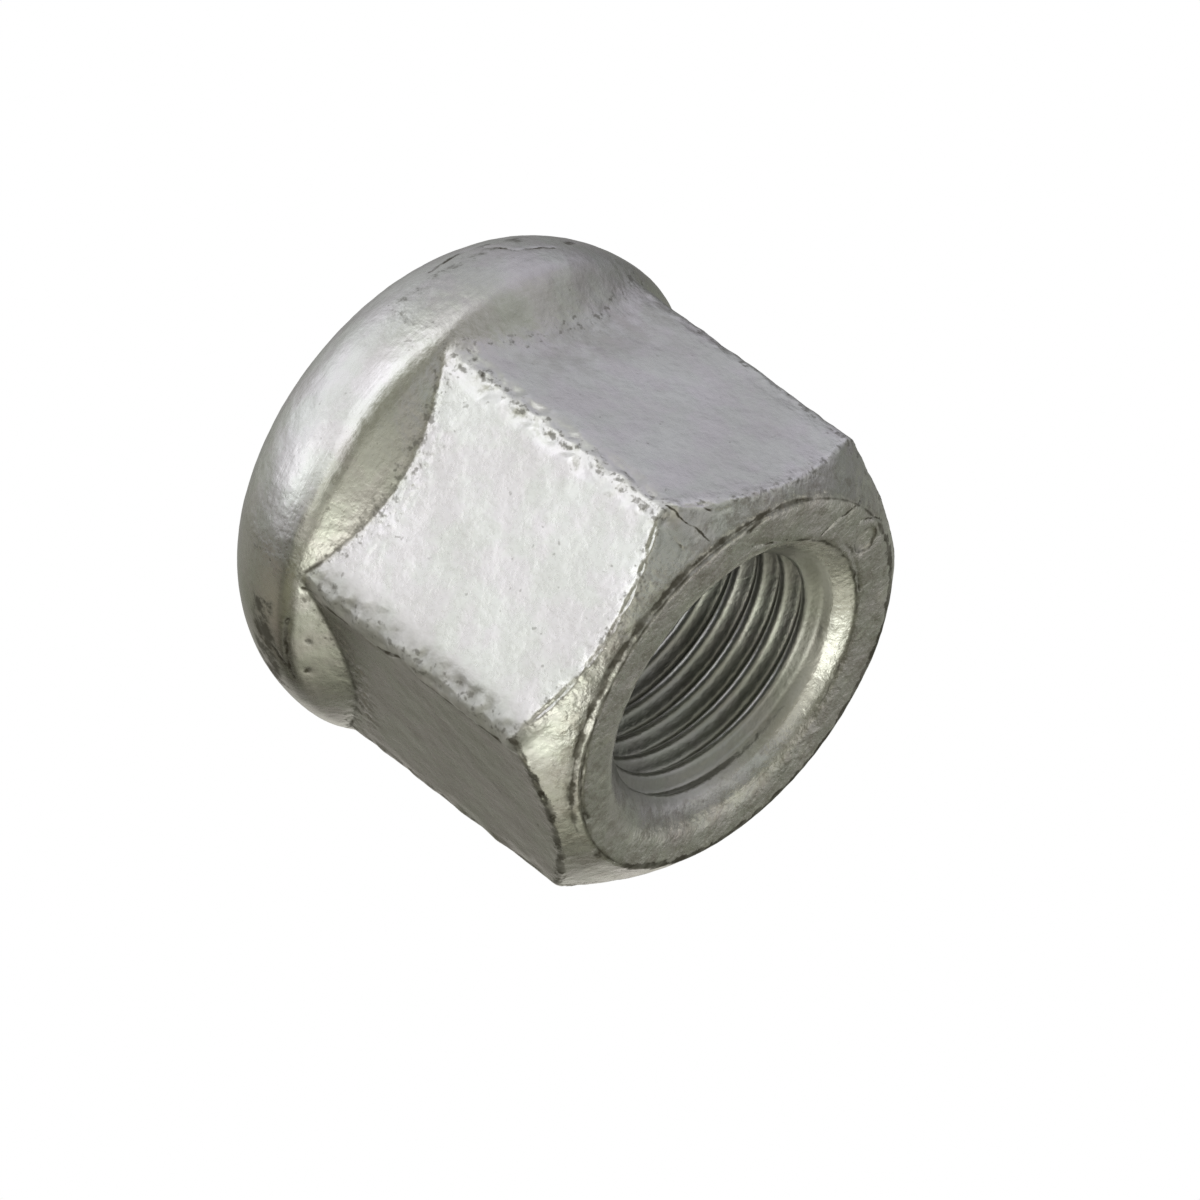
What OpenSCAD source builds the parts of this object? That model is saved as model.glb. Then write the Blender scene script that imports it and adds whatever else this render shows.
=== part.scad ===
// Open-ended wheel nut: a forged hexagon on a barrel-shaped collar, drilled
// and countersunk from both ends. It stands on its seat end, with the seat
// face at z = 0 and the axis of the thread along Z.

/* [Hexagon] */
// Width across the flats, which is the size of the wrench
across_flats = 19; // [17:0.5:22]
// Radius that rounds the six upright edges
edge_radius = 0.65; // [0.3:0.05:1.5]
// How far the rim of the top face lies inside the flats
top_face_inset = 0.8; // [0.4:0.1:1.4]
// Slope of the cone that trims the top corners, measured from level
chamfer_angle = 40; // [25:1:50]
// Overall height, from the seat face to the top face
height = 20.2; // [16:0.1:30]

/* [Collar] */
// How far the widest ring stands out past the edges of the hexagon
collar_overhang = 0.35; // [0.1:0.05:1.5]
// Height of the widest ring above the seat face
collar_z = 5.1; // [4:0.1:5.3]
// Radius of the barrel curve, as seen in section
barrel_radius = 5.5; // [5.3:0.1:9]
// Height from the widest ring to the point where the shoulder meets a flat
shoulder_rise = 2.5; // [2.2:0.1:5]
// Slope of the shoulder, measured from the axis
shoulder_angle = 42.5; // [38:0.5:60]
// Radius that eases the shoulder into the barrel curve
shoulder_blend = 1.5; // [0.4:0.1:2]

/* [Bore] */
// Nominal diameter of the thread
thread_d = 12; // [9:0.5:12.5]
// Pitch of the thread
thread_pitch = 1.25; // [0.75:0.25:1.75]
// How far the rim of the top countersink lies outside the thread
top_sink_margin = 0.85; // [0.3:0.05:1.2]
// How far the rim of the seat countersink lies outside the thread
seat_sink_margin = 0.6; // [0.2:0.05:0.9]
// Slope of both countersinks, measured from the axis
sink_angle = 45; // [30:1:60]

/* [Hidden] */
$fn = 96;

// How much narrower than the thread its tapping bore is, as a share of the pitch.
MINOR_SHARE = 1.0825;
// Length by which a cutter runs on past the face that it opens.
OVERRUN = 1;
// How far a rounding disc stands proud of the sides that it eases, so that
// they cross it cleanly and don't only touch it.
HAIR = 0.002;

// Hexagon
flat_r = across_flats / 2;
edge_centre_r = (flat_r - edge_radius) / cos(30);
corner_r = edge_centre_r + edge_radius;
top_face_r = flat_r - top_face_inset;

// Collar
collar_r = corner_r + collar_overhang;
barrel_centre = [collar_r - barrel_radius, collar_z];
seat_face_r = barrel_centre.x + sqrt(barrel_radius * barrel_radius - collar_z * collar_z);
shoulder_foot = [flat_r, collar_z + shoulder_rise];

// Bore
bore_r = (thread_d - MINOR_SHARE * thread_pitch) / 2;
top_sink_r = thread_d / 2 + top_sink_margin;
seat_sink_r = thread_d / 2 + seat_sink_margin;

function direction(angle) = [cos(angle), sin(angle)];

// Centre of the blend: one blend radius under the shoulder line, and inside
// the barrel curve so that the two arcs share a tangent.
function blend_centre() =
    let (normal = direction(shoulder_angle),
         along = [-normal.y, normal.x],
         start = shoulder_foot - shoulder_blend * normal - barrel_centre,
         half_b = start * along,
         c = start * start - pow(barrel_radius - shoulder_blend, 2))
    barrel_centre + start + (-half_b - sqrt(half_b * half_b - c)) * along;

// Outline of the hexagon: twelve tangent points, with a disc at each edge.
module hexagon() {
    polygon([for (i = [0:5], side = [-30, 30])
        edge_centre_r * direction(60 * i) + edge_radius * direction(60 * i + side)]);
    for (i = [0:5])
        translate(edge_centre_r * direction(60 * i)) circle(edge_radius + HAIR);
}

// Wrench hexagon, with its six top corners trimmed by one cone.
module wrench_hexagon() {
    reach = corner_r + OVERRUN;
    intersection() {
        translate([0, 0, collar_z]) linear_extrude(height - collar_z) hexagon();
        rotate_extrude()
            polygon([[0, 0], [reach, 0],
                     [reach, height - (reach - top_face_r) * tan(chamfer_angle)],
                     [top_face_r, height], [0, height]]);
    }
}

// Half section of the collar. The straight shoulder runs on inside the
// hexagon, so it meets each flat in a curve that sinks towards the edges.
module collar_section() {
    blend = blend_centre();
    shoulder_end = blend + shoulder_blend * direction(shoulder_angle);
    to_blend = blend - barrel_centre;
    barrel_top = barrel_centre.y + barrel_radius * to_blend.y / norm(to_blend);
    tip_z = shoulder_foot.y + flat_r / tan(shoulder_angle);
    polygon([[0, 0], [barrel_centre.x, 0], blend, shoulder_end, [0, tip_z]]);
    translate(blend) circle(shoulder_blend + HAIR);
    intersection() {
        translate(barrel_centre) circle(barrel_radius);
        square([collar_r + OVERRUN, barrel_top]);
    }
}

// Tapping bore, opened by a countersink at each end.
module bore() {
    flare = tan(sink_angle);
    rotate_extrude()
        polygon([[0, -OVERRUN], [seat_sink_r + OVERRUN * flare, -OVERRUN],
                 [bore_r, (seat_sink_r - bore_r) / flare],
                 [bore_r, height - (top_sink_r - bore_r) / flare],
                 [top_sink_r + OVERRUN * flare, height + OVERRUN],
                 [0, height + OVERRUN]]);
}

module lug_nut() {
    color("silver") difference() {
        union() {
            wrench_hexagon();
            rotate_extrude() collar_section();
        }
        bore();
    }
}

lug_nut();
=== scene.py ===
# %% [markdown]
# # A wheel nut, from the forging to the worn zinc
#
# A wheel nut is one piece of steel. A hexagon for the wrench grows out of a
# round collar, and the collar is curved below so that it centres itself in
# the stud hole of the wheel. The blank is forged hot, then it is turned,
# drilled, countersunk and tapped, and at the end it is plated with zinc.
#
# The lesson follows the same order, because each step leaves its own trace:
# solid forms first, then cuts, then the softness and the nicks of use, and
# the colour last. All sizes are in metres, so MM turns millimetres into them.

# %% Load the fixed frame
import math

import bpy
import numpy as np
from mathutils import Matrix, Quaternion, Vector


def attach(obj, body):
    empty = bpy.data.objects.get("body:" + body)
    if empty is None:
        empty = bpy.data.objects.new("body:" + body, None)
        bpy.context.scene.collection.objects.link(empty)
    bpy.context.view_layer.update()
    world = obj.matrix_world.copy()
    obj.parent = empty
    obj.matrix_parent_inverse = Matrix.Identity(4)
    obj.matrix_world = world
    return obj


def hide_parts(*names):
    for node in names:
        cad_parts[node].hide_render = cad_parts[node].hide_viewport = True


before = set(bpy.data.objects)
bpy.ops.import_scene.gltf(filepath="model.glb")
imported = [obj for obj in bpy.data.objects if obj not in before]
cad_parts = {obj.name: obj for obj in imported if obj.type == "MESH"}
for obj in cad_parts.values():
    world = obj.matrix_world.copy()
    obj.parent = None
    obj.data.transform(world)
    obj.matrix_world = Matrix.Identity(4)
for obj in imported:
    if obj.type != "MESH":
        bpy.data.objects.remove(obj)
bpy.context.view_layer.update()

# %% [markdown]
# ## The sizes
#
# A turned and milled part is known by few numbers. They are written once,
# here, and every later step takes its places from them. The axis of the
# thread is Z, and the nut stands on its seat end at Z = 0.

# %% Sizes of the nut
MM = 0.001

ACROSS_FLATS = 19 * MM      # the size of the wrench
HEIGHT = 20.2 * MM
EDGE_RADIUS = 0.65 * MM     # rounds the six upright edges
TOP_FACE_INSET = 0.8 * MM   # from the flats to the rim of the top face
CHAMFER_SLOPE = math.radians(40)

COLLAR_RADIUS = 11.22 * MM  # at the widest ring
COLLAR_Z = 5.1 * MM         # height of that ring
BARREL_RADIUS = 5.5 * MM    # the curve of the collar, in section
SHOULDER_RISE = 2.5 * MM    # from the widest ring to where the shoulder meets a flat
SHOULDER_SLOPE = math.radians(42.5)
SHOULDER_BLEND = 1.5 * MM

THREAD_RADIUS = 6 * MM      # bottom of the groove
PITCH = 1.25 * MM
BORE_RADIUS = THREAD_RADIUS - 1.0825 * PITCH / 2
PAST_THREAD = 6.2 * MM      # all that is nearer to the axis than this is thread
TOP_SINK_RADIUS = THREAD_RADIUS + 0.85 * MM
SEAT_SINK_RADIUS = THREAD_RADIUS + 0.6 * MM

FLAT_RADIUS = ACROSS_FLATS / 2
TOP_FACE_RADIUS = FLAT_RADIUS - TOP_FACE_INSET
CORNER_RADIUS = (FLAT_RADIUS - EDGE_RADIUS) / math.cos(math.radians(30)) + EDGE_RADIUS
print(f"corner radius {CORNER_RADIUS / MM:.2f} mm, bore radius {BORE_RADIUS / MM:.3f} mm")

# %% [markdown]
# ## A few small helpers
#
# An operator acts on whatever is selected. So each step first makes one
# piece the only selected one, and picks its corners, edges or faces by where
# they are, as one would with the mouse. A modifier that has done its work is
# applied at once, which keeps the stack empty and the next step simple.

# %% Helpers for selecting and for modifiers
def select_only(piece):
    bpy.ops.object.select_all(action="DESELECT")
    bpy.context.view_layer.objects.active = piece
    piece.select_set(True)


def pick(piece, kind, wanted):
    """Opens the piece in edit mode with only the wanted VERT, EDGE or FACE elements picked."""
    select_only(piece)
    bpy.ops.object.mode_set(mode="EDIT")
    bpy.ops.mesh.select_mode(type=kind)
    bpy.ops.mesh.select_all(action="DESELECT")
    bpy.ops.object.mode_set(mode="OBJECT")
    mesh = piece.data
    elements = {"VERT": mesh.vertices, "EDGE": mesh.edges, "FACE": mesh.polygons}[kind]
    for element in elements:
        element.select = wanted(element)
    bpy.ops.object.mode_set(mode="EDIT")


def finish_with(piece, kind, **settings):
    """Adds a modifier with these settings and applies it."""
    select_only(piece)
    modifier = piece.modifiers.new(kind.title(), kind)
    for name, value in settings.items():
        setattr(modifier, name, value)
    bpy.ops.object.modifier_apply(modifier=modifier.name)


def report(piece):
    mesh = piece.data
    size = [round(side / MM, 2) for side in piece.dimensions]
    print(f"{piece.name}: {len(mesh.vertices)} corners, {len(mesh.polygons)} faces, {size} mm")


# %% [markdown]
# ## The wrench hexagon
#
# The hexagon could be drawn as an outline and extruded. A cylinder with six
# sides is quicker, because it already is that prism. Blender puts its first
# corner on the Y axis, so it is turned by 30 degrees to bring a corner to X.
# Forging dies can't make a sharp edge, and the bevel rounds all six upright
# edges in one go. On a corner of 120 degrees a radius takes up its length
# times the tangent of 30 degrees on each flat, and that is the bevel's width.

# %% Six-sided prism with rounded upright edges
bpy.ops.object.select_all(action="DESELECT")
foot_z = COLLAR_Z
bpy.ops.mesh.primitive_cylinder_add(
    vertices=6,
    radius=FLAT_RADIUS / math.cos(math.radians(30)),
    depth=HEIGHT - foot_z,
    location=(0, 0, (HEIGHT + foot_z) / 2),
    rotation=(0, 0, math.radians(30)),
)
nut = bpy.context.object
nut.name = "lug_nut_worn"
bpy.ops.object.transform_apply(location=True, rotation=True, scale=True)


def upright(edge):
    a, b = (nut.data.vertices[i].co for i in edge.vertices)
    return abs(a.z - b.z) > HEIGHT / 2


pick(nut, "EDGE", upright)
bpy.ops.mesh.bevel(
    offset=EDGE_RADIUS * math.tan(math.radians(30)), segments=8, affect="EDGES"
)
bpy.ops.object.mode_set(mode="OBJECT")
report(nut)

# %% [markdown]
# ## Turned forms
#
# The chamfer, the collar, the bore and the countersinks are all made on a
# lathe or by a drill, so they are round. Each is drawn as half a section,
# from the axis out and back to the axis, and spun once round. The section
# grows from a single corner: a small plane is merged to one point, and that
# point is extruded from place to place. The spin leaves doubled corners on
# the axis and along the seam. Merging them closes the poles, and after that
# the normals are made to point outwards.

# %% A helper that turns a half section into a solid
TURN_STEPS = 144
DOUBLES = 0.001 * MM


def turned(name, section):
    bpy.ops.object.select_all(action="DESELECT")
    (r, z) = section[0]
    bpy.ops.mesh.primitive_plane_add(size=MM, location=(r, 0, z))
    piece = bpy.context.object
    piece.name = name
    bpy.ops.object.transform_apply(location=True, rotation=True, scale=True)
    bpy.ops.object.mode_set(mode="EDIT")
    bpy.ops.mesh.select_mode(type="VERT")
    bpy.ops.mesh.select_all(action="SELECT")
    bpy.ops.mesh.merge(type="CENTER")
    for (r0, z0), (r1, z1) in zip(section, section[1:]):
        bpy.ops.mesh.extrude_region_move(
            TRANSFORM_OT_translate={"value": (r1 - r0, 0, z1 - z0)}
        )
    bpy.ops.mesh.select_all(action="SELECT")
    bpy.ops.mesh.spin(steps=TURN_STEPS, angle=math.tau, center=(0, 0, 0), axis=(0, 0, 1))
    bpy.ops.mesh.select_all(action="SELECT")
    bpy.ops.mesh.remove_doubles(threshold=DOUBLES)
    bpy.ops.mesh.normals_make_consistent(inside=False)
    bpy.ops.object.mode_set(mode="OBJECT")
    report(piece)
    return piece


def arc(centre, radius, start, end, steps):
    """Points of an arc in the section, between two angles measured from level."""
    angles = np.linspace(start, end, steps + 1)
    return [(centre[0] + radius * math.cos(a), centre[1] + radius * math.sin(a)) for a in angles]


def combine(piece, tool, operation):
    """Joins or cuts the piece with the tool, and puts the tool away."""
    finish_with(piece, "BOOLEAN", operation=operation, object=tool, solver="EXACT")
    bpy.data.objects.remove(tool)


# %% [markdown]
# ## The chamfer on the wrench end
#
# A bar end is chamfered on the lathe, so one cone trims all six corners. Where
# a cone meets an upright flat the cut is a hyperbola, and those are the arcs
# on top of each flat. Only what the prism and the cone share is kept, so this
# is a Boolean intersection. The chuck held this blank a little out of true,
# and the cone is moved sideways by that run-out, so that the rim comes nearer
# to some flats than to others.

# %% Turn the chamfer
RUN_OUT = 0.16 * MM
RUN_OUT_DIRECTION = math.radians(150)
reach = CORNER_RADIUS + 1 * MM
cone = turned("chamfer_cone", [
    (0, 0),
    (reach, 0),
    (reach, HEIGHT - (reach - TOP_FACE_RADIUS) * math.tan(CHAMFER_SLOPE)),
    (TOP_FACE_RADIUS, HEIGHT),
    (0, HEIGHT),
])
pick(cone, "VERT", lambda corner: True)
bpy.ops.transform.translate(value=(
    RUN_OUT * math.cos(RUN_OUT_DIRECTION), RUN_OUT * math.sin(RUN_OUT_DIRECTION), 0
))
bpy.ops.object.mode_set(mode="OBJECT")
combine(nut, cone, "INTERSECT")
report(nut)

# %% [markdown]
# ## The collar
#
# The collar is a barrel: an arc that starts at the seat face, is widest a
# quarter of the way up, and closes in again. A cone, the shoulder, leads from
# it up into the hexagon. The shoulder isn't cut off where it meets the flats.
# It runs on inside, so each flat sinks into it along a curve, low in the
# middle and rising to both edges. That curve makes the lens-shaped shadow
# between flat and collar.
#
# The blend circle lies inside the barrel circle and touches it, and it also
# touches the shoulder line. Its centre is thus one blend radius under that
# line and the difference of the radii away from the barrel's centre.

# %% Turn the collar and join it
barrel = Vector((COLLAR_RADIUS - BARREL_RADIUS, COLLAR_Z))
shoulder_foot = Vector((FLAT_RADIUS, COLLAR_Z + SHOULDER_RISE))
shoulder_out = Vector((math.cos(SHOULDER_SLOPE), math.sin(SHOULDER_SLOPE)))  # square to the shoulder
shoulder_way = Vector((-shoulder_out.y, shoulder_out.x))                      # along it
start = shoulder_foot - SHOULDER_BLEND * shoulder_out - barrel
half_b = start.dot(shoulder_way)
rest = start.length_squared - (BARREL_RADIUS - SHOULDER_BLEND) ** 2
blend = barrel + start - (half_b + math.sqrt(half_b * half_b - rest)) * shoulder_way
touch = math.atan2(blend.y - barrel.y, blend.x - barrel.x)
seat_angle = -math.asin(COLLAR_Z / BARREL_RADIUS)

collar = turned("collar", [
    (0, 0),
    *arc(barrel, BARREL_RADIUS, seat_angle, touch, 40),
    *arc(blend, SHOULDER_BLEND, touch, SHOULDER_SLOPE, 16)[1:],
    (0, shoulder_foot.y + FLAT_RADIUS / math.tan(SHOULDER_SLOPE)),
])
combine(nut, collar, "UNION")
report(nut)

# %% [markdown]
# ## Bore and countersinks
#
# The tapping drill goes right through, and a countersink opens each end so
# that the stud finds its way in. Drill and countersinks are one turned
# section, which runs past both faces: a cutter that ends flush with a face
# leaves a skin behind.

# %% Drill and countersink
PAST = 1 * MM
drill = turned("drill", [
    (0, -PAST),
    (SEAT_SINK_RADIUS + PAST, -PAST),
    (BORE_RADIUS, SEAT_SINK_RADIUS - BORE_RADIUS),
    (BORE_RADIUS, HEIGHT - (TOP_SINK_RADIUS - BORE_RADIUS)),
    (TOP_SINK_RADIUS + PAST, HEIGHT + PAST),
    (0, HEIGHT + PAST),
])
combine(nut, drill, "DIFFERENCE")
report(nut)

# %% [markdown]
# ## The thread
#
# A tap cuts one groove that winds up the bore like a spring. Its section is
# a tooth with flanks at 60 degrees to each other and a narrow flat tip. The
# tooth starts as a plane stood upright, whose outer edge is pinched, and the
# Screw modifier winds it round the axis, one pitch higher with each turn.
# That leaves a tube with two open ends, which are filled. The tooth begins a
# little inside the bore wall, so nothing thin stays between them.

# %% Wind the tap and cut the groove
TIP_FLAT = PITCH / 8
TOOTH_ROOT = BORE_RADIUS - 0.22 * MM   # a little inside the wall of the bore
GROOVE_Z = 18.751 * MM      # height of the groove where it passes +X, near the top
TURNS_BELOW = 16            # turns of the groove under that height
TURNS = TURNS_BELOW + 2
tooth_depth = THREAD_RADIUS - TOOTH_ROOT
tooth_base = TIP_FLAT + 2 * tooth_depth * math.tan(math.radians(30))
start_z = GROOVE_Z - TURNS_BELOW * PITCH

bpy.ops.object.select_all(action="DESELECT")
bpy.ops.mesh.primitive_plane_add(
    size=1,
    location=(TOOTH_ROOT + tooth_depth / 2, 0, start_z),
    rotation=(math.radians(90), 0, 0),
)
tap = bpy.context.object
tap.name = "tap"
tap.scale = (tooth_depth, tooth_base, 1)
bpy.ops.object.transform_apply(location=True, rotation=True, scale=True)

tip_x = TOOTH_ROOT + tooth_depth
pick(tap, "VERT", lambda corner: corner.co.x > tip_x - tooth_depth / 2)
bpy.ops.transform.resize(
    value=(1, 1, TIP_FLAT / tooth_base), center_override=(tip_x, 0, start_z)
)
bpy.ops.mesh.select_all(action="SELECT")
bpy.ops.mesh.delete(type="ONLY_FACE")
bpy.ops.object.mode_set(mode="OBJECT")
finish_with(
    tap, "SCREW", angle=math.tau, steps=96, render_steps=96, screw_offset=PITCH,
    iterations=TURNS, use_merge_vertices=False,
)
pick(tap, "VERT", lambda corner: False)
bpy.ops.mesh.select_all(action="SELECT")
bpy.ops.mesh.remove_doubles(threshold=DOUBLES)
bpy.ops.mesh.fill_holes(sides=0)
bpy.ops.mesh.normals_make_consistent(inside=False)
bpy.ops.object.mode_set(mode="OBJECT")
report(tap)
combine(nut, tap, "DIFFERENCE")
report(nut)

# %% [markdown]
# ## From sharp cuts to worn metal
#
# So far every edge is as sharp as a drawing, and a plated forging never is.
# Bevels on all these curved edges would tangle where they meet. The Remesh
# modifier does better here: it lays a fine grid of cubes over the solid and
# builds one even skin, whose edges are rounded by about the size of a cube.
# A few rounds of smoothing then ease them like the zinc does.

# %% One even skin
VOXEL = 0.085 * MM
finish_with(nut, "REMESH", mode="VOXEL", voxel_size=VOXEL, use_smooth_shade=True)
finish_with(nut, "SMOOTH", factor=0.5, iterations=3)
report(nut)

# %% [markdown]
# ## Where the forging is softer
#
# A vertex group tells a modifier how much to act at each corner of the mesh.
# Here it keeps the smoothing to a few places. The die has filled one flat
# badly, so that flat runs into the shoulder in a wide hollow curve. The
# shoulder turns into the barrel without a crease. The countersink was cut by
# a worn tool, which rolled its rim over on one side. The rim of the top face
# is blunt on the far side, and studs have rubbed the crests of the thread.
#
# The weights are worked out from each corner's place. Angles round the axis
# are measured from +X, and a flat's own angle is the one it faces.

# %% Soften what the die and the tools left soft
def corners_of(mesh):
    places = np.empty(len(mesh.vertices) * 3)
    mesh.vertices.foreach_get("co", places)
    return places.reshape(-1, 3)


def normals_of(mesh):
    normals = np.empty(len(mesh.vertices) * 3)
    mesh.vertex_normals.foreach_get("vector", normals)
    return normals.reshape(-1, 3)


def ramp(values, low, high):
    """0 below low, 1 above high, and a smooth way between them."""
    t = np.clip((values - low) / (high - low), 0, 1)
    return t * t * (3 - 2 * t)


def fade(distance, width):
    """1 on a line, and soon 0 beside it."""
    return np.exp(-((distance / width) ** 2))


def away_from(turn, degrees):
    """How many degrees round the axis lie between each corner and this direction."""
    return np.abs((np.degrees(turn) - degrees + 180) % 360 - 180)


def mask(piece, name, weights):
    """A vertex group with these weights, given in twenty steps."""
    group = piece.vertex_groups.new(name=name)
    levels = np.round(np.clip(weights, 0, 1) * 20).astype(int)
    for level in range(1, 21):
        group.add(np.nonzero(levels == level)[0].tolist(), level / 20, "REPLACE")
    print(f"mask {name}: {np.mean(levels > 0):.1%} of the corners")


SOFT_FLAT = -150            # the flat that the die filled badly
ROLLED_SIDE = 40            # the middle of the side where the countersink is rolled over
BLUNT_SIDE = 172            # the middle of the side where the rim of the top face is blunt
SOFT_RING = (10.35 * MM, 8.2 * MM)  # radius and height of the crease where shoulder turns into barrel
x, y, z = corners_of(nut.data).T
radius, turn = np.hypot(x, y), np.arctan2(y, x)
beside_flat = away_from(turn, SOFT_FLAT)
mask(nut, "soft_flat", ramp(32 - beside_flat, 0, 8)
     * ramp(z, 5.5 * MM, 7 * MM) * ramp(12.5 * MM - z, 0, 2 * MM) * ramp(radius, 7 * MM, 8 * MM))
to_ring = np.hypot(radius - SOFT_RING[0], z - SOFT_RING[1])
mask(nut, "soft_ring", ramp(1.6 * MM - to_ring, 0, 0.7 * MM))
to_sink_rim = np.hypot(radius - TOP_SINK_RADIUS, z - HEIGHT)
rolled = ramp(85 - away_from(turn, ROLLED_SIDE), 0, 40)
mask(nut, "soft_rim", ramp(1.0 * MM - to_sink_rim, 0, 0.5 * MM) * 0.2)
mask(nut, "rolled_rim", ramp(1.7 * MM - to_sink_rim, 0, 0.7 * MM) * rolled)
to_top_rim = np.hypot(radius - TOP_FACE_RADIUS, z - HEIGHT)
on_blunt_side = ramp(50 - away_from(turn, BLUNT_SIDE), 0, 25)
mask(nut, "blunt_rim", on_blunt_side * ramp(1.1 * MM - to_top_rim, 0, 0.6 * MM))
in_bore = ramp(6.4 * MM - radius, 0, 0.2 * MM)
mask(nut, "thread", in_bore * ramp(z, 0.5 * MM, 1.5 * MM) * ramp(HEIGHT - z, 0.5 * MM, 1 * MM))
ROUNDS = {"soft_flat": 400, "soft_ring": 16, "soft_rim": 50, "rolled_rim": 220, "blunt_rim": 90}
for name, rounds in ROUNDS.items():
    finish_with(nut, "SMOOTH", factor=0.7, iterations=rounds, vertex_group=name)
finish_with(nut, "SMOOTH", factor=0.5, iterations=26, vertex_group="thread")

# %% [markdown]
# ## Where wear goes
#
# Nicks gather on the edges that stick out. They can be found by smoothing a
# copy of the nut far too much: where the copy has sunk below the surface
# there was an edge, and where it stands above it there was a hollow. The
# edges of the cuts are also known from the sizes, as distances from each
# flat, from the cone of the chamfer and from the shoulder.

# %% Find the edges
def stand_out(piece, iterations):
    """How far each corner stands out from a much smoothed copy, in metres."""
    soft = piece.copy()
    soft.data = piece.data.copy()
    bpy.context.scene.collection.objects.link(soft)
    finish_with(soft, "SMOOTH", factor=0.5, iterations=iterations)
    apart = corners_of(piece.data) - corners_of(soft.data)
    bpy.data.objects.remove(soft)
    return (apart * normals_of(piece.data)).sum(1)


RUN_OUT_X = RUN_OUT * math.cos(RUN_OUT_DIRECTION)
RUN_OUT_Y = RUN_OUT * math.sin(RUN_OUT_DIRECTION)


def from_edges(places):
    """How far each place lies from the edges that the cuts have left."""
    x, y, z = places.T
    radius, off_axis = np.hypot(x, y), np.hypot(x - RUN_OUT_X, y - RUN_OUT_Y)
    outward = [x * math.cos(a) + y * math.sin(a) for a in np.radians(range(30, 390, 60))]
    flat = FLAT_RADIUS - np.max(outward, axis=0)
    cone = (HEIGHT - z) * math.cos(CHAMFER_SLOPE) - (off_axis - TOP_FACE_RADIUS) * math.sin(CHAMFER_SLOPE)
    shoulder = (radius - FLAT_RADIUS) * shoulder_out.x + (z - shoulder_foot.y) * shoulder_out.y
    corner = np.radians(60) * np.round(np.arctan2(y, x) / np.radians(60))
    return {
        "flat": flat,
        "chamfer_arc": np.hypot(flat, cone),
        "shoulder_arc": np.hypot(flat, shoulder),
        "upright": np.hypot(x - CORNER_RADIUS * np.cos(corner), y - CORNER_RADIUS * np.sin(corner)),
    }


x, y, z = corners_of(nut.data).T
radius, turn = np.hypot(x, y), np.arctan2(y, x)
ridge = stand_out(nut, 30)
edge = from_edges(corners_of(nut.data))
print(f"edges stand out by up to {ridge.max() / MM:.2f} mm")

# %% [markdown]
# ## Weights for each kind of wear
#
# The skin of the forging covers all of the outside, less so on the flat that
# came out of the die smoothest. Dents belong on the edges, most of all on
# the two beside the flat that has seen the most use. Small beads of zinc sit
# at the foot of the flats.
#
# Other traces have places of their own. The turning tool left a shallow
# groove round part of the rim of the top face, and something hard has
# pressed a small round dimple into that face. A wrench has rolled a thin lip
# of metal over one of the upright edges.

# %% Weights for skin, dents and beads
CALM_FLAT = -30             # the flat that came out of the die smoothest
USED_FLAT = -90             # the flat whose edges have been hit most
outside = ramp(radius, PAST_THREAD, 7.0 * MM)
calm = ramp(32 - away_from(turn, CALM_FLAT), 0, 4)
mask(nut, "outside", outside * ramp(z, 0, 0.3 * MM) * (1 - 0.5 * calm))
on_upright = fade(edge["upright"] - 0.3 * MM, 0.45 * MM)
stands_proud = np.maximum(ramp(ridge, 0.005 * MM, 0.05 * MM), on_upright)
hard_used = 0.3 + 0.7 * ramp(58 - away_from(turn, USED_FLAT), 0, 16)
mask(nut, "edges", outside * stands_proud * ramp(z, 6 * MM, 7.5 * MM) * hard_used)
crisp = ramp(away_from(turn, SOFT_FLAT), 30, 34) * ramp(z - 8 * MM - 0.3 * (radius - 9.5 * MM), -1.2 * MM, 0)
at_foot = fade(edge["shoulder_arc"] - 0.35 * MM, 0.4 * MM) * ramp(0.15 * MM - edge["flat"], 0, 0.1 * MM)
mask(nut, "beads", crisp * at_foot)

# %% Weights for groove, lip and dimple
GROOVE_SIDE = -95           # the middle of the side with the turned groove
GROOVE_RADIUS = 8.8 * MM
SCUFFED_CORNER = -60        # the upright edge that the wrench has rolled over
DIMPLE = (-7.54 * MM, 2.48 * MM)
DIMPLE_RADIUS = 0.6 * MM
grooved = ramp(75 - away_from(turn, GROOVE_SIDE), 0, 20)
mask(nut, "rim_groove", grooved * fade(radius - GROOVE_RADIUS, 0.16 * MM) * ramp(z, 19 * MM, 19.5 * MM))
past_corner = x * math.cos(math.radians(30)) + y * math.sin(math.radians(30))
lip_end = 0.9 * MM - 0.5 * MM * fade(z - 11.8 * MM, 0.5 * MM)  # with one notch in it
lip = ramp(past_corner, -0.35 * MM, 0.6 * MM) * ramp(lip_end - past_corner, -0.06 * MM, 0.06 * MM)
lip = lip * ramp(1.6 * MM - edge["upright"], 0, 0.3 * MM) * ramp(30 - away_from(turn, SCUFFED_CORNER), 0, 10)
mask(nut, "lip", lip * ramp(z, 6 * MM, 7.5 * MM) * ramp(18.6 * MM - z, 0, 0.8 * MM))
to_dimple = np.hypot(x - DIMPLE[0], y - DIMPLE[1])
on_top = ramp(z, HEIGHT - 0.5 * MM, HEIGHT - 0.2 * MM)
mask(nut, "dimple", on_top * ramp(DIMPLE_RADIUS - to_dimple, -0.05 * MM, 0.08 * MM))

# %% [markdown]
# ## Scratches
#
# Some scratches and seams are too plain to be left to chance, and each is
# put in its place. A scratch is a width and the points that it runs through.
# The distance from a corner of the mesh to the nearest stretch of it gives
# the weight. The material will use the same list, so the dirt lies in the cut.

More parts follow.
